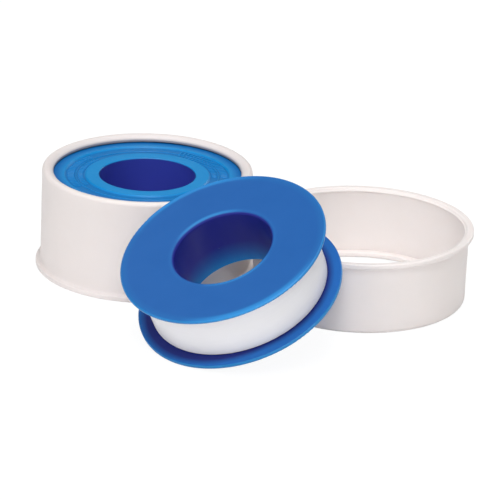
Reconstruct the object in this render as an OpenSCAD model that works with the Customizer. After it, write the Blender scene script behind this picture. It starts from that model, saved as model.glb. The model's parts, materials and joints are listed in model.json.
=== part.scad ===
// Thread seal tape rolls: a closed wide roll, and a narrow roll opened up
// with its wound spool leaning on the rim of its empty shell.
// Millimetres, Z up, table at Z = 0, X to the right, Y away from the viewer.

/* [Tape] */
// Width of the tape on the opened roll (half inch)
open_tape_w = 12.7; // [8:0.1:25.4]
// Width of the tape on the closed roll (three quarter inch)
closed_tape_w = 19.05; // [10:0.05:30]
// Thickness of the wound tape over the hub
wind_t = 8.45; // [4:0.05:9]
// Thickness of the film, which is the step at the free end
film_t = 0.1; // [0.06:0.01:0.3]
// Play between the tape's edge and each flange
tape_play = 0.25; // [0.05:0.05:0.5]
// Play between the first turn and the hub
core_play = 0.05; // [0.02:0.01:0.2]
// Where the free end lies round the spool, in degrees
free_end_at = 135; // [0:5:355]

/* [Spool] */
// Diameter of both flanges
flange_d = 50; // [42:0.5:60]
// Thickness of the plain end flange
plain_t = 0.85; // [0.8:0.05:2]
// Thickness of the marked end flange
face_t = 1.15; // [1:0.05:2]
// Rounding of the flange edges
flange_edge_r = 0.38; // [0.1:0.01:0.39]
// Width of a flange, from the bore to the edge
face_w = 13.1; // [11.5:0.05:16]
// Wall of the hub
hub_wall = 1.3; // [0.9:0.1:3]
// Rounding of the bore's mouth at the plain end
bore_edge_r = 0.8; // [0.2:0.05:0.85]
// Rounding of the bore's mouth at the marked end
marked_edge_r = 0.3; // [0.1:0.05:0.6]
// Width of the raised collar round the bore on the marked face
collar_w = 3.3; // [1.5:0.1:4.5]
// Width of the raised band along the edge of the marked face
band_w = 4.5; // [2:0.1:5]
// Depth of the ring between collar and band
recess_depth = 0.4; // [0.2:0.05:0.6]
// How far the ring's sides slope
recess_slope = 0.4; // [0.1:0.05:0.8]

/* [Shell] */
// Wall thickness
shell_wall = 0.8; // [0.6:0.05:1.5]
// Radial clearance from flange to wall at the lip
shell_clear = 0.15; // [0.12:0.01:0.5]
// How much the radius grows from lip to mouth
shell_draft = 0.25; // [0.1:0.05:0.6]
// How far the lip reaches over the spool's face
lip_reach = 1.8; // [1.5:0.05:3.5]
// Thickness of the lip at its inner edge
lip_t = 0.87; // [0.7:0.01:1.2]
// Rounding of the lip's inner edges
lip_edge_r = 0.2; // [0.1:0.05:0.3]
// How far the crown stands above the lip's inner edge
crown_h = 0.84; // [0.5:0.01:1.4]
// Rounding from the crown to the wall
crown_r = 0.95; // [0.8:0.05:1.5]
// How far the rim stands out at the mouth
rim_w = 1.15; // [0.8:0.05:2.5]
// Thickness of the rim
rim_t = 1.2; // [0.9:0.05:2]
// Rounding of the rim's edges
rim_edge_r = 0.3; // [0.1:0.05:0.4]
// Fillet between rim and wall
rim_fillet = 0.8; // [0.3:0.05:1]
// Rounding inside the mouth
mouth_r = 0.7; // [0.3:0.05:0.8]
// Radius of the bead that holds the spool in
bead_r = 0.35; // [0.25:0.01:0.4]
// Clearance from the bead to the flange
bead_clear = 0.08; // [0.04:0.01:0.1]
// Gap between the spool's face and the lip
seat_gap = 0.15; // [0.15:0.05:0.5]
// How far the opened roll's shell reaches past its spool at the mouth
open_mouth_over = 1.1; // [1.1:0.05:3]
// How far the closed roll's shell reaches past its spool at the mouth
closed_mouth_over = 1.8; // [1.2:0.05:4]

/* [Placing] */
// Tilt of the opened spool's axis from upright
lean_tilt = 26.3; // [24:0.1:32]
// Direction in which the opened spool rises towards its shell
lean_azimuth = 46.6; // [30:0.1:60]
// Gap between the leaning spool and the rim below it
lean_gap = 0.05; // [0.05:0.05:0.4]
// Where the closed roll stands beside the leaning spool
side_angle = 21.1; // [10:0.1:35]
// Gap between the closed roll's rim and the leaning spool
side_gap = 0.3; // [0.2:0.05:3]

/* [Hidden] */
$fn = 96;

// Spool sizes
flange_r = flange_d / 2;
bore_r = flange_r - face_w;
hub_r = bore_r + hub_wall;
open_len = spool_len(open_tape_w);
closed_len = spool_len(closed_tape_w);

// Shell sizes, from the spool that each one holds
lip_in = flange_r + shell_clear;
lip_out = lip_in + shell_wall;
mouth_in = lip_in + shell_draft;
mouth_out = mouth_in + shell_wall;
rim_r = mouth_out + rim_w;
lip_r = flange_r - lip_reach;
open_h = shell_height(open_len, open_mouth_over);
closed_h = shell_height(closed_len, closed_mouth_over);

// The leaning spool stands on its edge, and its underside meets the rim
lean_s = sin(lean_tilt);
lean_c = cos(lean_tilt);
edge_c = flange_r - flange_edge_r;
spool_z = flange_edge_r + edge_c * lean_s - flange_edge_r * lean_c;
rim_rise = lean_c * (open_h - rim_edge_r - spool_z) + rim_edge_r + lean_gap;
lean_dist = rim_r - rim_edge_r + rim_rise / lean_s;

// The closed roll stands beside the leaning spool, clear of its flange
side_s = sin(side_angle);
side_c = cos(side_angle);
side_den = sqrt(pow(side_c, 2) + pow(lean_c * side_s, 2));
side_reach = rim_r + side_gap;
side_u = flange_r * pow(lean_c, 2) * side_s / side_den + side_reach * side_s;
side_v = flange_r * side_c / side_den + side_reach * side_c;

// Plan positions from the foot of the spool's axis
along = [cos(lean_azimuth), sin(lean_azimuth)];
across = [-sin(lean_azimuth), cos(lean_azimuth)];
open_rel = lean_dist * along;
closed_rel = side_u * along + side_v * across;
low_rel = -lean_s * flange_edge_r * along;
high_rel = -lean_s * (open_len - flange_edge_r) * along;

// The set's box, so that the origin is under its middle
reach = [for (i = [0, 1]) edge_c * sqrt(1 - pow(lean_s * along[i], 2)) + flange_edge_r];
low = [for (i = [0, 1]) min(
    open_rel[i] - rim_r, closed_rel[i] - rim_r,
    low_rel[i] - reach[i], high_rel[i] - reach[i])];
high = [for (i = [0, 1]) max(
    open_rel[i] + rim_r, closed_rel[i] + rim_r,
    low_rel[i] + reach[i], high_rel[i] + reach[i])];
spool_at = -(low + high) / 2;
open_at = open_rel + spool_at;
closed_at = closed_rel + spool_at;
closed_spool_z = closed_mouth_over;

// Length of a spool over both flanges
function spool_len(tape_w) = plain_t + tape_w + 2 * tape_play + face_t;

// Height of a shell from its mouth to its crown
function shell_height(len, over) = over + len + seat_gap + lip_t + crown_h;

// Outer radius of a shell's wall at a height
function wall_out(h, z) =
    mouth_out + (lip_out - mouth_out) * (z - mouth_r) / (h - crown_r - mouth_r);

// One flange with rounded edges, as a half section
module flange_section(r0, z0, t) {
    e = flange_edge_r;
    translate([r0, z0]) square([edge_c - r0, t]);
    translate([r0, z0 + e]) square([flange_r - r0, t - 2 * e]);
    for (z = [z0 + e, z0 + t - e])
        translate([edge_c, z]) circle(e);
}

// What a rounded bore mouth takes away at the lower end
module bore_mouth(r) {
    difference() {
        translate([bore_r - 1, -1]) square(r + 1);
        translate([bore_r + r, r]) circle(r);
    }
}

// A spool, plain end down and marked end up
module spool(len) {
    collar_out = bore_r + collar_w;
    band_in = flange_r - band_w;
    rotate_extrude()
        difference() {
            union() {
                translate([bore_r, 0]) square([hub_wall, len]);
                flange_section(bore_r, 0, plain_t);
                flange_section(bore_r, len - face_t, face_t);
            }
            bore_mouth(bore_edge_r);
            translate([0, len]) mirror([0, 1]) bore_mouth(marked_edge_r);
            polygon([
                [collar_out, len], [collar_out + recess_slope, len - recess_depth],
                [band_in - recess_slope, len - recess_depth], [band_in, len],
                [band_in, len + 1], [collar_out, len + 1]
            ]);
        }
}

// Wound tape: quarter arcs whose centres step round, so the outer turn
// winds in by one film thickness and ends in a step
module winding(tape_w) {
    step = film_t / 4;
    outer_r = hub_r + wind_t;
    centres = [[0, 0], [0, step], [-step, step], [-step, 0]];
    rotate(free_end_at)
        linear_extrude(tape_w)
            difference() {
                for (k = [0 : 3])
                    translate(centres[k])
                        intersection() {
                            circle(outer_r - k * step);
                            rotate(90 * k) square(2 * outer_r);
                        }
                circle(hub_r + core_play);
            }
}

// A shell, mouth down and lip up
module shell(h, over) {
    crown_at = lip_out - crown_r;
    shoulder_z = h - crown_r;
    lip_z = h - crown_h - lip_t;
    // The dome's arc runs into the rounding of the lip's upper edge
    nose_at = lip_r + lip_edge_r;
    nose_z = h - crown_h - lip_edge_r;
    dome_w = crown_at - nose_at;
    dome_in = (pow(dome_w, 2) + pow(crown_h, 2)) / (2 * crown_h);
    dome_r = dome_in + lip_edge_r;
    meet_at = nose_at - lip_edge_r * dome_w / dome_in;
    fillet = min(rim_fillet, rim_w - rim_edge_r);
    fillet_z = rim_t + fillet;
    fillet_at = wall_out(h, fillet_z);
    rim_in = mouth_in + mouth_r;
    rotate_extrude()
        union() {
            difference() {
                union() {
                    // Lip under its crown, with an upright inner face
                    for (z = [lip_z + lip_edge_r, nose_z])
                        translate([nose_at, z]) circle(lip_edge_r);
                    translate([nose_at, lip_z]) square([dome_w, nose_z - lip_z]);
                    translate([lip_r, lip_z + lip_edge_r])
                        square([lip_edge_r, nose_z - lip_z - lip_edge_r]);
                    intersection() {
                        translate([meet_at, nose_z]) square([crown_at - meet_at, h - nose_z]);
                        translate([crown_at, h - dome_r]) circle(dome_r);
                    }
                    // Round shoulder
                    intersection() {
                        translate([crown_at, shoulder_z]) square(crown_r);
                        translate([crown_at, shoulder_z]) circle(crown_r);
                    }
                    // Wall
                    polygon([
                        [lip_r, mouth_r], [mouth_out, mouth_r], [lip_out, shoulder_z],
                        [crown_at, shoulder_z], [crown_at, lip_z], [lip_r, lip_z]
                    ]);
                    // Rim at the mouth
                    translate([rim_in, 0]) square([rim_r - rim_edge_r - rim_in, rim_t]);
                    translate([rim_in, rim_edge_r])
                        square([rim_r - rim_in, rim_t - 2 * rim_edge_r]);
                    for (z = [rim_edge_r, rim_t - rim_edge_r])
                        translate([rim_r - rim_edge_r, z]) circle(rim_edge_r);
                    // Rounding inside the mouth
                    intersection() {
                        translate([mouth_in, 0]) square(mouth_r);
                        translate([rim_in, mouth_r]) circle(mouth_r);
                    }
                    // Fillet over the rim
                    difference() {
                        translate([fillet_at - shell_wall / 2, rim_t / 2])
                            square([fillet + shell_wall / 2, fillet_z - rim_t / 2]);
                        translate([fillet_at + fillet, fillet_z]) circle(fillet);
                    }
                }
                // Room for the spool
                polygon([
                    [lip_r - 1, -1], [mouth_in, -1], [mouth_in, mouth_r],
                    [lip_in, lip_z], [lip_r - 1, lip_z]
                ]);
            }
            // Bead that holds the spool in
            translate([flange_r + bead_clear + bead_r, over - seat_gap - bead_r / 2])
                circle(bead_r);
        }
}

// Places the opened spool's pieces on the leaning axis, marked end down
module on_lean() {
    translate([spool_at.x, spool_at.y, spool_z])
        rotate([0, lean_tilt, lean_azimuth + 180])
            translate([0, 0, open_len])
                rotate([180, 0, 0])
                    children();
}

// Places the closed roll's spool in its shell
module in_closed() {
    translate([closed_at.x, closed_at.y, closed_spool_z])
        children();
}

module open_shell() {
    color("whitesmoke")
        translate([open_at.x, open_at.y, open_h])
            rotate([180, 0, 0])
                shell(open_h, open_mouth_over);
}

module open_spool() {
    color("steelblue")
        on_lean() spool(open_len);
}

module open_tape() {
    color("white")
        on_lean()
            translate([0, 0, plain_t + tape_play])
                winding(open_tape_w);
}

module closed_shell() {
    color("whitesmoke")
        translate([closed_at.x, closed_at.y, 0])
            shell(closed_h, closed_mouth_over);
}

module closed_spool() {
    color("steelblue")
        in_closed() spool(closed_len);
}

module closed_tape() {
    color("white")
        in_closed()
            translate([0, 0, plain_t + tape_play])
                winding(closed_tape_w);
}

open_shell();
open_spool();
open_tape();
closed_shell();
closed_spool();
closed_tape();
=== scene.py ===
import json
import math

import bpy
from mathutils import Matrix, Vector, noise


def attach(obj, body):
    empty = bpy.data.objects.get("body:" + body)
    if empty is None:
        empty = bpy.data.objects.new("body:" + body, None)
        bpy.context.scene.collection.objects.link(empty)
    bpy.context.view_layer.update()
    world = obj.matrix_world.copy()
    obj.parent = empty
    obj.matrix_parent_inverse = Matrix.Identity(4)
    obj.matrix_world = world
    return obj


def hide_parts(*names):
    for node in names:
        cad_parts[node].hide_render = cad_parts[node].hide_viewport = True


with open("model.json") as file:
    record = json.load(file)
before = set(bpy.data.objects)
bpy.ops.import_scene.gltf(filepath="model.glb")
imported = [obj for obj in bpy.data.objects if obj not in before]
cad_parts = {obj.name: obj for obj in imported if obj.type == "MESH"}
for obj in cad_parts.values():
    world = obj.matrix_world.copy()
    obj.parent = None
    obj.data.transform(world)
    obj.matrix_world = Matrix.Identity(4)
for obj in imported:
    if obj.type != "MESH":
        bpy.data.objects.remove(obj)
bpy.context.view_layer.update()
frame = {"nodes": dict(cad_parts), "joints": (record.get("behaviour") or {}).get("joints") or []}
nodes = frame["nodes"]
joints = {j["name"]: j for j in frame["joints"]}

MM = 0.001

# Sizes of the spools and of the tape, as in the solids
FLANGE_R = 25.0 * MM
FACE_W = 13.1 * MM
PLAIN_T = 0.85 * MM
FACE_T = 1.15 * MM
HUB_WALL = 1.3 * MM
RECESS_DEPTH = 0.4 * MM
OPEN_TAPE_W = 12.7 * MM
CLOSED_TAPE_W = 19.05 * MM
WIND_T = 8.45 * MM
LIP_R = 23.2 * MM
FILM_T = 0.1 * MM
TAPE_PLAY = 0.25 * MM
CORE_PLAY = 0.05 * MM

BORE_R = FLANGE_R - FACE_W
HUB_R = BORE_R + HUB_WALL
WOUND_R = HUB_R + WIND_T


def spool_len(tape_w):
    return PLAIN_T + tape_w + 2 * TAPE_PLAY + FACE_T


def spool_axes(joint, marked_up, length):
    """Axes of a spool: Z runs from the middle of its plain face to its marked face."""
    z = Vector(joint["axis"]).normalized() * (1 if marked_up else -1)
    x = (Vector((0, 1, 0)) - z * z.y).normalized()
    turn = Matrix((x, z.cross(x), z)).transposed().to_4x4()
    return Matrix.Translation(joint["pos_m"]) @ turn @ Matrix.Translation((0, 0, -length / 2))


OPEN_LEN = spool_len(OPEN_TAPE_W)
CLOSED_LEN = spool_len(CLOSED_TAPE_W)
open_axes = spool_axes(joints["open_spool_spin"], False, OPEN_LEN)
closed_axes = spool_axes(joints["closed_spool_spin"], True, CLOSED_LEN)


# Material helpers

def new_material(name):
    mat = bpy.data.materials.new(name)
    mat.use_nodes = True
    tree = mat.node_tree
    tree.nodes.clear()
    return mat, tree, tree.nodes.new("ShaderNodeOutputMaterial")


def add(tree, kind, **values):
    node = tree.nodes.new(kind)
    for key, value in values.items():
        if key in node.inputs:
            node.inputs[key].default_value = value
        else:
            setattr(node, key, value)
    return node


def link(tree, source, target):
    tree.links.new(source, target)


def object_coord(tree):
    return add(tree, "ShaderNodeTexCoord").outputs["Object"]


def noise_at(tree, coord, scale, detail, rough):
    node = add(tree, "ShaderNodeTexNoise", Scale=scale, Detail=detail, Roughness=rough)
    link(tree, coord, node.inputs["Vector"])
    return node.outputs["Fac"]


def remap(tree, value, low, high, from_low=0.3, from_high=0.7):
    """A value carried from one range to another; noise lies in the range that is preset."""
    node = add(tree, "ShaderNodeMapRange")
    for key, number in (("From Min", from_low), ("From Max", from_high),
                        ("To Min", low), ("To Max", high)):
        node.inputs[key].default_value = number
    link(tree, value, node.inputs["Value"])
    return node.outputs["Result"]


def rises(tree, value, start, end, top=1):
    """0 up to the start, then straight up to the top at the end."""
    return remap(tree, value, 0, top, start, end)


def falls(tree, value, start, end):
    """1 up to the start, then straight down to 0 at the end."""
    return remap(tree, value, 1, 0, start, end)


def mix_colour(tree, share, a, b):
    """Colour a where the share is 0 and b where it is 1; each is a colour or a socket."""
    node = tree.nodes.new("ShaderNodeMix")
    node.data_type = "RGBA"
    sockets = {s.name: s for s in node.inputs if s.type == "RGBA"}
    for key, colour in (("A", a), ("B", b)):
        if isinstance(colour, tuple):
            sockets[key].default_value = (*colour, 1)
        else:
            link(tree, colour, sockets[key])
    link(tree, share, node.inputs["Factor"])
    return next(s for s in node.outputs if s.type == "RGBA")


def math_node(tree, operation, *values):
    """A sum on sockets and numbers."""
    node = add(tree, "ShaderNodeMath", operation=operation)
    for socket, value in zip(node.inputs, values):
        if isinstance(value, (int, float)):
            socket.default_value = value
        else:
            link(tree, value, socket)
    return node.outputs[0]


def plus(tree, a, b):
    return math_node(tree, "ADD", a, b)


def times(tree, a, b):
    return math_node(tree, "MULTIPLY", a, b)


def spool_coord(tree, axes):
    """Coordinates in a spool's own axes, and the distance from its axis."""
    inverse = axes.inverted()
    node = add(tree, "ShaderNodeMapping", Location=inverse.to_translation(),
               Rotation=inverse.to_euler())
    link(tree, object_coord(tree), node.inputs["Vector"])
    part = add(tree, "ShaderNodeSeparateXYZ")
    link(tree, node.outputs["Vector"], part.inputs["Vector"])
    x, y, z = (part.outputs[key] for key in "XYZ")
    return x, y, z, math_node(tree, "SQRT", plus(tree, times(tree, x, x), times(tree, y, y)))


def towards(tree, place, angle):
    """The cosine of the turn between a point and an angle round the axis, in degrees."""
    x, y, _, r = place
    a = math.radians(angle)
    along = plus(tree, times(tree, x, math.cos(a)), times(tree, y, math.sin(a)))
    return math_node(tree, "DIVIDE", along, r)


def grain_bump(tree, height, strength, depth):
    node = add(tree, "ShaderNodeBump", Strength=strength, Distance=depth)
    link(tree, height, node.inputs["Height"])
    return node.outputs["Normal"]


def surface(tree, out, tone, roughness, normal, specular):
    bsdf = add(tree, "ShaderNodeBsdfPrincipled")
    for key, source in (("Base Color", tone), ("Roughness", roughness), ("Normal", normal)):
        link(tree, source, bsdf.inputs[key])
    bsdf.inputs["Specular IOR Level"].default_value = specular
    link(tree, bsdf.outputs["BSDF"], out.inputs["Surface"])
    return bsdf


def let_light_in(bsdf, weight, radius, scale):
    bsdf.inputs["Subsurface Weight"].default_value = weight
    bsdf.inputs["Subsurface Radius"].default_value = radius
    bsdf.inputs["Subsurface Scale"].default_value = scale


# Colours; a pair is the darkest and the palest tone of a mottled surface

OPEN_WHITE = (0.842, 0.784, 0.764), (0.854, 0.796, 0.776)
# Painted shade: the closed shell is the same white plastic as the open one, set about 8 % darker
CLOSED_WHITE_SHADED = (0.776, 0.717, 0.701), (0.788, 0.729, 0.713)
# Painted shade at the inner foot of the closed shell's lip
LIP_SHADE_GREY = (0.100, 0.100, 0.125)
FILM_WHITE = (0.925, 0.906, 0.910), (0.945, 0.926, 0.930)

PLAIN_BLUE = (0.006, 0.097, 0.354), (0.008, 0.103, 0.368)
MARKED_BLUE = (0.004, 0.244, 0.590), (0.006, 0.256, 0.610)
# Painted shade on the marked face beneath the shell's lip
LIP_SHADE_BLUE = (0.003, 0.110, 0.400)
# Painted highlights on the bore's mouth and on the rims of the flanges
MOUTH_HIGHLIGHT_BLUE = (0.026, 0.250, 0.600)
RIM_HIGHLIGHT_BLUE = (0.008, 0.128, 0.400)
RIM_GLINT_BLUE = (0.018, 0.220, 0.570)
THIN_EDGE_HIGHLIGHT_BLUE = (0.030, 0.320, 0.700)
MARKED_RIM_HIGHLIGHT_BLUE = (0.018, 0.220, 0.540)
GROOVE_BLUE = (0.006, 0.122, 0.440)
# Painted shade beside the tape
TAPE_SHADE_BLUE = (0.006, 0.016, 0.170)
# Painted shade in the two bores
OPEN_BORE_SHADE_BLUE = (0.014, 0.016, 0.235)
CLOSED_BORE_SHADE_BLUE = (0.034, 0.046, 0.370)

# Noise of moulded plastic: scale per metre, detail and roughness
FLOW = (160, 4, 0.55)
GLOSS = (420, 5, 0.6)
GRAIN = (6000, 2, 0.6)

# Noise of the film, and the length that stands for its way round, so that streaks run that way
STREAK = (1800, 4, 0.6)
CLOUD = (220, 3, 0.5)
STREAK_ROUND = 1.5 * MM

# How far the bore's painted shade fades out before the marked face
OPEN_BORE_FADE = 6.3 * MM
CLOSED_BORE_FADE = 0.4 * MM

# Angles round a spool: the diameter along which the edges get a painted glint, and the side of the
# groove with painted shade
EDGE_GLINT_AT = -15
SHADE_AT = 235


# White plastic

def shell_plastic(name, whites, lip_shade=None):
    """White moulded plastic: mottled, finely grained, unevenly glossy, with painted shade at the
    inner foot of the lip.
    """
    mat, tree, out = new_material(name)
    coord = object_coord(tree)
    tone = mix_colour(tree, remap(tree, noise_at(tree, coord, *FLOW), 0, 1), *whites)
    # Painted shade: grey on the lip's inner face, full below the lower height on the spool's axis
    # and gone by the upper
    if lip_shade:
        axes, low, high = lip_shade
        _, _, z, r = spool_coord(tree, axes)
        lip_shade_mask = times(tree, falls(tree, r, LIP_R + 0.3 * MM, LIP_R + 0.9 * MM),
                     falls(tree, z, low, high))
        tone = mix_colour(tree, lip_shade_mask, tone, LIP_SHADE_GREY)
    roughness = remap(tree, noise_at(tree, coord, *GLOSS), 0.40, 0.50)
    grain = grain_bump(tree, noise_at(tree, coord, *GRAIN), 0.10, 0.03 * MM)
    bsdf = surface(tree, out, tone, roughness, grain, specular=0.35)
    let_light_in(bsdf, 0.15, (1.2, 1.0, 0.9), 1 * MM)
    return mat


# Blue plastic

def face_tones(tree, place, length, coord):
    """The plain end, the greener marked end, and painted shade on the ring beneath the shell's
    lip.
    """
    _, _, z, r = place
    flow = remap(tree, noise_at(tree, coord, *FLOW), 0, 1)
    plain = mix_colour(tree, flow, *PLAIN_BLUE)
    marked = mix_colour(tree, flow, *MARKED_BLUE)
    at_face = rises(tree, z, length - 0.6 * MM, length - 0.15 * MM)
    tone = mix_colour(tree, at_face, plain, marked)
    # Painted light in the bore: the paler marked tone reaches in from the marked end
    lit_bore_end = times(tree, falls(tree, r, BORE_R + 0.3 * MM, BORE_R + 0.7 * MM),
                     rises(tree, z, length - 7 * MM, length - 1 * MM, 0.6))
    tone = mix_colour(tree, lit_bore_end, tone, marked)
    # Painted shade: darker towards the lip on the face's outer ring
    painted_lip_shade = times(tree, rises(tree, r, LIP_R - 2.8 * MM, LIP_R - 0.8 * MM, 0.75),
                      rises(tree, z, length - 0.7 * MM, length - 0.5 * MM))
    return mix_colour(tree, painted_lip_shade, tone, LIP_SHADE_BLUE)


def edge_tones(tree, place, length, tone):
    """Painted highlights on the edges: the bore's mouth and the rims of both flanges."""
    _, _, z, r = place
    # Painted glint: strongest towards one diameter fixed round the spool, so it turns with the
    # spool
    glint_side = rises(tree, math_node(tree, "ABSOLUTE", towards(tree, place, EDGE_GLINT_AT)), 0.72, 0.97)
    mouth = times(tree, falls(tree, r, BORE_R + 0.8 * MM, BORE_R + 1.5 * MM),
                  falls(tree, z, 0.3 * MM, 0.8 * MM))
    mouth = times(tree, mouth, remap(tree, glint_side, 0.1, 0.8, 0, 1))
    tone = mix_colour(tree, mouth, tone, MOUTH_HIGHLIGHT_BLUE)

    plain_end = falls(tree, z, PLAIN_T - 0.2 * MM, PLAIN_T)
    rim = times(tree, rises(tree, r, FLANGE_R - 2.2 * MM, FLANGE_R - 0.1 * MM), plain_end)
    tone = mix_colour(tree, rim, tone, RIM_HIGHLIGHT_BLUE)
    lit_rim = times(tree, rises(tree, r, FLANGE_R - 1.6 * MM, FLANGE_R - 0.9 * MM), plain_end)
    tone = mix_colour(tree, times(tree, lit_rim, glint_side), tone, RIM_GLINT_BLUE)
    thin = times(tree, rises(tree, r, FLANGE_R - 0.5 * MM, FLANGE_R - 0.2 * MM, 0.35),
                 falls(tree, z, PLAIN_T - 0.1 * MM, PLAIN_T + 0.1 * MM))
    tone = mix_colour(tree, thin, tone, THIN_EDGE_HIGHLIGHT_BLUE)

    marked_rim = times(tree, rises(tree, r, FLANGE_R - 0.5 * MM, FLANGE_R - 0.05 * MM),
                       rises(tree, z, length - FACE_T - 1 * MM, length - FACE_T))
    return mix_colour(tree, marked_rim, tone, MARKED_RIM_HIGHLIGHT_BLUE)


def bore_tones(tree, place, length, tone, bore_shade, fade):
    """Painted shade in the bore, which fades out towards the marked face."""
    _, _, z, r = place
    depth = times(tree, rises(tree, z, -0.01 * MM, 0.22 * MM, 0.97),
                  falls(tree, z, length - fade, length - 0.05 * MM))
    inside = times(tree, falls(tree, r, BORE_R + 0.3 * MM, BORE_R + 0.95 * MM), depth)
    return mix_colour(tree, inside, tone, bore_shade)


def between_flanges(tree, place, length):
    """1 on the inner sides of the flanges and on the hub, 0 elsewhere."""
    _, _, z, r = place
    face = length - FACE_T
    between = times(tree, rises(tree, z, PLAIN_T - 0.15 * MM, PLAIN_T - 0.05 * MM),
                    falls(tree, z, face + 0.05 * MM, face + 0.15 * MM))
    return times(tree, rises(tree, r, BORE_R + 0.5 * MM, BORE_R + 0.9 * MM), between)


def groove_tones(tree, place, groove, tone):
    """The inner sides of the flanges: painted shade beside the tape, reaching further out on the
    shaded side.
    """
    # Painted shade that turns with the spool: it reaches furthest out towards one side
    shade_w = rises(tree, towards(tree, place, SHADE_AT), 0.4, 1, 1.6 * MM)
    from_shade = math_node(tree, "SUBTRACT", place[3], shade_w)
    painted_tape_shade = times(tree, groove, falls(tree, from_shade, WOUND_R, WOUND_R + 1.7 * MM))
    tone = mix_colour(tree, groove, tone, GROOVE_BLUE)
    return mix_colour(tree, painted_tape_shade, tone, TAPE_SHADE_BLUE)


def spool_plastic(name, axes, length, bore_shade, fade):
    """Blue moulded plastic: mottled, grained, duller in the groove and at the bore's mouth."""
    mat, tree, out = new_material(name)
    coord = object_coord(tree)
    place = spool_coord(tree, axes)
    groove = between_flanges(tree, place, length)
    tone = face_tones(tree, place, length, coord)
    tone = edge_tones(tree, place, length, tone)
    tone = bore_tones(tree, place, length, tone, bore_shade, fade)
    tone = groove_tones(tree, place, groove, tone)

    _, _, z, r = place
    mouth_edge = times(tree, falls(tree, r, BORE_R + 0.4 * MM, BORE_R + 0.8 * MM),
                       falls(tree, z, 0.6 * MM, 1.2 * MM))
    dull = times(tree, plus(tree, groove, mouth_edge), 0.3)
    roughness = plus(tree, remap(tree, noise_at(tree, coord, *GLOSS), 0.31, 0.37), dull)
    grain = grain_bump(tree, noise_at(tree, coord, *GRAIN), 0.04, 0.02 * MM)
    surface(tree, out, tone, roughness, grain, specular=0.3)
    return mat


# Film

def wound_film(name, axes):
    """Wound film: waxy white with fine streaks that run round the roll."""
    mat, tree, out = new_material(name)
    x, y, z, _ = spool_coord(tree, axes)
    laid = add(tree, "ShaderNodeCombineXYZ")
    link(tree, times(tree, math_node(tree, "ARCTAN2", y, x), STREAK_ROUND), laid.inputs["X"])
    link(tree, z, laid.inputs["Y"])
    streak = noise_at(tree, laid.outputs["Vector"], *STREAK)
    tone = mix_colour(tree, remap(tree, streak, 0, 1), *FILM_WHITE)
    roughness = remap(tree, noise_at(tree, object_coord(tree), *CLOUD), 0.42, 0.55)
    bsdf = surface(tree, out, tone, roughness, grain_bump(tree, streak, 0.25, 0.02 * MM),
                   specular=0.3)
    let_light_in(bsdf, 0.25, (1, 1, 1), 0.6 * MM)
    return mat


def dress(node, mat):
    nodes[node].data.materials.clear()
    nodes[node].data.materials.append(mat)


open_white = shell_plastic("open_shell_white", OPEN_WHITE)
# The closed shell has painted shade on its lip, from just above the spool's face up to the lip's
# top
closed_white = shell_plastic("closed_shell_white_shaded", CLOSED_WHITE_SHADED,
                             (closed_axes, CLOSED_LEN + 0.1 * MM, CLOSED_LEN + 1.3 * MM))
open_blue = spool_plastic("open_spool_blue", open_axes, OPEN_LEN,
                          OPEN_BORE_SHADE_BLUE, OPEN_BORE_FADE)
closed_blue = spool_plastic("closed_spool_blue", closed_axes, CLOSED_LEN,
                            CLOSED_BORE_SHADE_BLUE, CLOSED_BORE_FADE)
dress("open_shell", open_white)
dress("closed_shell", closed_white)
dress("open_spool", open_blue)
dress("closed_spool", closed_blue)


# Pieces

def add_piece(name, verts, faces, mat, body):
    mesh = bpy.data.meshes.new(name)
    mesh.from_pydata(verts, [], faces)
    mesh.validate()
    mesh.update()
    obj = bpy.data.objects.new(name, mesh)
    bpy.context.scene.collection.objects.link(obj)
    mesh.materials.append(mat)
    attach(obj, body)
    return obj


def smooth(obj, sharp_from):
    for poly in obj.data.polygons:
        poly.use_smooth = True
    obj.data.set_sharp_from_angle(angle=math.radians(sharp_from))


# Wound film: where the outer turn ends, in degrees round the spool, and its fine shape
OPEN_END_AT = 1.5
CLOSED_END_AT = 45
END_LAP = math.radians(0.2)
END_LIFT = 0.05 * MM
END_LIFT_REACH = 3 * MM
EDGE_DROP = 0.05 * MM
EDGE_DROP_W = 0.35 * MM
LONG_WAVE = 0.012 * MM
FINE_WAVE = 0.010 * MM


def film_wave(ray, across, seed):
    """Slight waves of the outer turn: round the roll, and finer across its width."""
    wave = LONG_WAVE * noise.noise(ray * 6 + Vector((0, 0, across * 9 + seed)))
    return wave + FINE_WAVE * noise.noise(ray * 1.5 + Vector((0, 0, across * 24 + seed)))


def wind(name, axes, tape_w, end_at, seed, mat, body, node):
    """The wound film: its outer turn runs in by one thickness and ends in a straight lap."""
    steps, rows = 420, 24
    z0 = PLAIN_T + TAPE_PLAY
    verts = []
    for i in range(steps + 1):
        share = i / steps
        a = math.radians(end_at) + END_LAP + (2 * math.pi - END_LAP) * share
        ray = Vector((math.cos(a), math.sin(a), 0))
        lift = END_LIFT * math.exp(-share * 2 * math.pi * WOUND_R / END_LIFT_REACH)
        for k in range(rows):
            s = k / (rows - 1)
            near = min(s, 1 - s) * tape_w
            drop = EDGE_DROP * max(0.0, 1 - near / EDGE_DROP_W) ** 2
            r = WOUND_R - FILM_T * share - drop + film_wave(ray, s, seed) + lift
            verts.append(axes @ (ray * r + Vector((0, 0, z0 + tape_w * s))))
        for z in (z0 + tape_w, z0):
            verts.append(axes @ (ray * (HUB_R + CORE_PLAY) + Vector((0, 0, z))))
    count, loop = steps + 1, rows + 2
    faces = []
    for i in range(count):
        j = (i + 1) % count
        for k in range(loop):
            m = (k + 1) % loop
            faces.append((i * loop + k, j * loop + k, j * loop + m, i * loop + m))
    obj = add_piece(name, verts, faces, mat, body)
    smooth(obj, 35)
    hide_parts(node)


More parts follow.
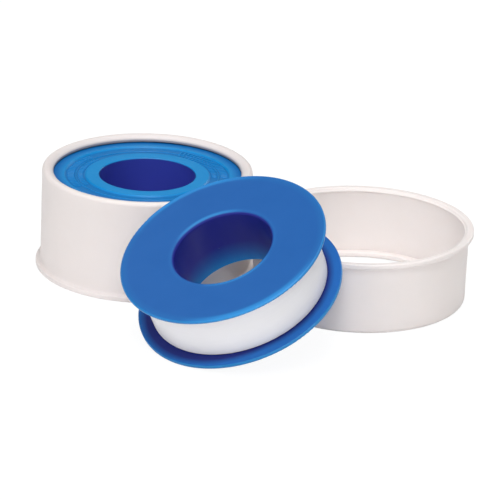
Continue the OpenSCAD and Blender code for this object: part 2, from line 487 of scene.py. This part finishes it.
wind("open_tape_film", open_axes, OPEN_TAPE_W, OPEN_END_AT, 3.1,
     wound_film("open_film", open_axes), "open_spool", "open_tape")
wind("closed_tape_film", closed_axes, CLOSED_TAPE_W, CLOSED_END_AT, 8.7,
     wound_film("closed_film", closed_axes), "closed_spool", "closed_tape")


# Low relief on the marked face: a fine ridge between two rows of plain bars

RELIEF_H = 0.2 * MM
SUNK = 0.05 * MM
RIDGE_R = 17.6 * MM
RIDGE_W = 0.32 * MM
RIDGE_H = 0.75 * RELIEF_H
BAR_W = 0.5 * MM
BAR_SLOPE = 0.1 * MM
BAR_PITCH = 1.05 * MM
BAR_ROWS = ((15.85 * MM, 17.25 * MM), (17.95 * MM, 19.85 * MM))
BAR_ARCS = ((-90, -22), (50, 122))


def bar(r0, r1, angle):
    """A plain radial bar with round ends and a sloping side: lower and upper outline."""
    half = BAR_W / 2
    turn = Matrix.Rotation(angle, 4, "Z")
    ends = ((r1 - half, -90), (r0 + half, 90))
    arcs = [(at, math.radians(start + 30 * k)) for at, start in ends for k in range(7)]
    outlines = []
    for inset, z in ((0, -SUNK), (BAR_SLOPE, RELIEF_H)):
        size = half - inset
        outlines.append([turn @ Vector((at + size * math.cos(a), size * math.sin(a), z))
                         for at, a in arcs])
    return outlines


def relief_bars(name, axes, length, mat, body):
    on_floor = axes @ Matrix.Translation((0, 0, length - RECESS_DEPTH))
    verts = []
    faces = []
    for r0, r1 in BAR_ROWS:
        step = math.degrees(BAR_PITCH / ((r0 + r1) / 2))
        for first, last in BAR_ARCS:
            for i in range(int((last - first) / step)):
                low, high = bar(r0, r1, math.radians(first + step * (i + 0.5)))
                at, n = len(verts), len(low)
                verts += [on_floor @ v for v in low + high]
                faces += [(at + k, at + (k + 1) % n, at + n + (k + 1) % n, at + n + k)
                          for k in range(n)]
                faces += [tuple(range(at + n, at + 2 * n)),
                          tuple(range(at + n - 1, at - 1, -1))]
    add_piece(name, verts, faces, mat, body)


def relief_ridge(name, axes, length, mat, body):
    """A fine round ridge on the recess's floor."""
    steps = 240
    half = RIDGE_W / 2
    crown = [math.radians(20 * k) for k in range(10)]
    section = [(-half, -SUNK)]
    section += [(-half * math.cos(a), RIDGE_H * math.sin(a)) for a in crown]
    section += [(half, -SUNK)]
    n = len(section)
    verts = []
    faces = []
    for i in range(steps):
        a = 2 * math.pi * i / steps
        for w, h in section:
            r = RIDGE_R + w
            verts.append(axes @ Vector((r * math.cos(a), r * math.sin(a),
                                        length - RECESS_DEPTH + h)))
        j = (i + 1) % steps
        faces += [(i * n + k, j * n + k, j * n + (k + 1) % n, i * n + (k + 1) % n)
                  for k in range(n)]
    smooth(add_piece(name, verts, faces, mat, body), 50)


for body, axes, length, mat in (("closed_spool", closed_axes, CLOSED_LEN, closed_blue),
                                ("open_spool", open_axes, OPEN_LEN, open_blue)):
    relief_bars(body + "_bars", axes, length, mat, body)
    relief_ridge(body + "_ridge", axes, length, mat, body)


# Gate mark in the open bore

GATE_R = 0.3 * MM
GATE_H = 0.12 * MM
GATE_AT = -12.6
GATE_Z = 9.1 * MM


def gate_mark(name, axes, angle, z, mat, body):
    """The small nub that the mould's gate leaves on the bore's wall."""
    out = Vector((math.cos(math.radians(angle)), math.sin(math.radians(angle)), 0))
    up = Vector((0, 0, 1))
    side = up.cross(out)
    verts = []
    faces = []
    rings, n = 5, 12
    for i in range(rings):
        t = math.radians(90 * i / rings)
        at = out * (BORE_R + SUNK - (GATE_H + SUNK) * math.sin(t)) + up * z
        for k in range(n):
            a = 2 * math.pi * k / n
            round_it = side * math.cos(a) + up * math.sin(a)
            verts.append(axes @ (at + round_it * GATE_R * math.cos(t)))
    for i in range(rings - 1):
        low, high = i * n, (i + 1) * n
        faces += [(low + k, low + (k + 1) % n, high + (k + 1) % n, high + k) for k in range(n)]
    faces += [tuple(range(n - 1, -1, -1)), tuple(range((rings - 1) * n, rings * n))]
    smooth(add_piece(name, verts, faces, mat, body), 60)


gate_mark("open_spool_gate", open_axes, GATE_AT, GATE_Z, open_blue, "open_spool")


# Floor

FLOOR_HALF = 6.0
FLOOR_DROP = 0.02 * MM
FLOOR_BOUNCE = (0.92, 0.92, 0.92), (0.94, 0.94, 0.94)
FLOOR_SHADED = (0.10, 0.10, 0.10), (0.12, 0.12, 0.12)
FLOOR_GLOW = 0.93


def floor_material():
    """Pale floor: white to the camera, with the set's soft shadow."""
    mat, tree, out = new_material("floor_white")
    soft = noise_at(tree, object_coord(tree), 3, 2, 0.5)
    bounce = add(tree, "ShaderNodeBsdfDiffuse")
    link(tree, mix_colour(tree, soft, *FLOOR_BOUNCE), bounce.inputs["Color"])
    shaded = add(tree, "ShaderNodeBsdfDiffuse")
    link(tree, mix_colour(tree, soft, *FLOOR_SHADED), shaded.inputs["Color"])
    glow = add(tree, "ShaderNodeEmission", Color=(1, 1, 1, 1), Strength=FLOOR_GLOW)
    seen = add(tree, "ShaderNodeAddShader")
    link(tree, shaded.outputs[0], seen.inputs[0])
    link(tree, glow.outputs[0], seen.inputs[1])
    path = add(tree, "ShaderNodeLightPath")
    mix = add(tree, "ShaderNodeMixShader")
    link(tree, path.outputs["Is Camera Ray"], mix.inputs[0])
    link(tree, bounce.outputs[0], mix.inputs[1])
    link(tree, seen.outputs[0], mix.inputs[2])
    link(tree, mix.outputs[0], out.inputs["Surface"])
    return mat


floor_mesh = bpy.data.meshes.new("floor")
floor_mesh.from_pydata([(x * FLOOR_HALF, y * FLOOR_HALF, 0)
                        for x, y in ((-1, -1), (1, -1), (1, 1), (-1, 1))], [], [(0, 1, 2, 3)])
floor_mesh.materials.append(floor_material())
floor = bpy.data.objects.new("floor", floor_mesh)
floor.location.z = -FLOOR_DROP
bpy.context.scene.collection.objects.link(floor)


# Light

ROOM_STRENGTH = 0.5
ROOM_FROM = 38
ROOM_FULL = 50
LIGHT_SIZE = 0.5
LIGHT_DISTANCE = 1.2
LIGHT_AIM = Vector((0, 0, 12 * MM))

# Azimuth and elevation in degrees, and power in watts
LIGHTS = {
    "front": (270, 30, 2.7),
    "front_low": (262, 8, 0.6),
    "front_high": (270, 55, 3.2),
    "front_left": (225, 35, 2.7),
    "front_right": (315, 35, 1.15),
    "left": (185, 25, 1.2),
    "back_left": (135, 40, 0.4),
    "back": (90, 8, 0.28),
    "back_right": (45, 12, 2.1),
    "top": (0, 89, 5.0),
}


def studio_world(strength, low, high):
    """Room light from above, and plain white where the camera looks past the floor."""
    world = bpy.data.worlds.new("studio")
    bpy.context.scene.world = world
    world.use_nodes = True
    tree = world.node_tree
    tree.nodes.clear()
    part = add(tree, "ShaderNodeSeparateXYZ")
    link(tree, add(tree, "ShaderNodeTexCoord").outputs["Generated"], part.inputs["Vector"])
    from_low, from_high = (math.sin(math.radians(angle)) for angle in (low, high))
    seen = add(tree, "ShaderNodeBackground", Color=(1, 1, 1, 1), Strength=1.0)
    room = add(tree, "ShaderNodeBackground", Color=(1, 1, 1, 1))
    link(tree, rises(tree, part.outputs["Z"], from_low, from_high, strength),
         room.inputs["Strength"])
    path = add(tree, "ShaderNodeLightPath")
    mix = add(tree, "ShaderNodeMixShader")
    link(tree, path.outputs["Is Camera Ray"], mix.inputs[0])
    link(tree, room.outputs[0], mix.inputs[1])
    link(tree, seen.outputs[0], mix.inputs[2])
    link(tree, mix.outputs[0], add(tree, "ShaderNodeOutputWorld").inputs["Surface"])


def studio_light(name, azimuth, elevation, power):
    """A soft round light that faces the set from a direction."""
    a, e = math.radians(azimuth), math.radians(elevation)
    ray = Vector((math.cos(a) * math.cos(e), math.sin(a) * math.cos(e), math.sin(e)))
    at = ray * LIGHT_DISTANCE
    light = bpy.data.lights.new(name, "AREA")
    light.shape = "DISK"
    light.size = LIGHT_SIZE
    light.energy = power
    obj = bpy.data.objects.new(name, light)
    bpy.context.scene.collection.objects.link(obj)
    obj.location = at
    obj.rotation_euler = (LIGHT_AIM - at).to_track_quat("-Z", "Y").to_euler()


studio_world(ROOM_STRENGTH, ROOM_FROM, ROOM_FULL)
for light_name, setting in LIGHTS.items():
    studio_light(light_name, *setting)


# Camera

CAM_AT = Vector((-0.477, -776.491, 314.692)) * MM
CAM_PITCH = math.radians(21.206)
CAM_ROLL = math.radians(1.890)
LENS_PX = 3450.27
IMAGE_PX = 500
SENSOR = 36.0

forward = Vector((0, math.cos(CAM_PITCH), -math.sin(CAM_PITCH)))
level_up = Vector((0, math.sin(CAM_PITCH), math.cos(CAM_PITCH)))
right = Vector((1, 0, 0)) * math.cos(CAM_ROLL) + level_up * math.sin(CAM_ROLL)
cam_data = bpy.data.cameras.new("camera")
cam_data.sensor_fit = "HORIZONTAL"
cam_data.sensor_width = SENSOR
cam_data.lens = LENS_PX * SENSOR / IMAGE_PX
cam = bpy.data.objects.new("camera", cam_data)
turn = Matrix((right, right.cross(forward), -forward)).transposed()
cam.matrix_world = Matrix.Translation(CAM_AT) @ turn.to_4x4()
bpy.context.scene.collection.objects.link(cam)
bpy.context.scene.camera = cam

bpy.context.scene.view_settings.view_transform = "Standard"
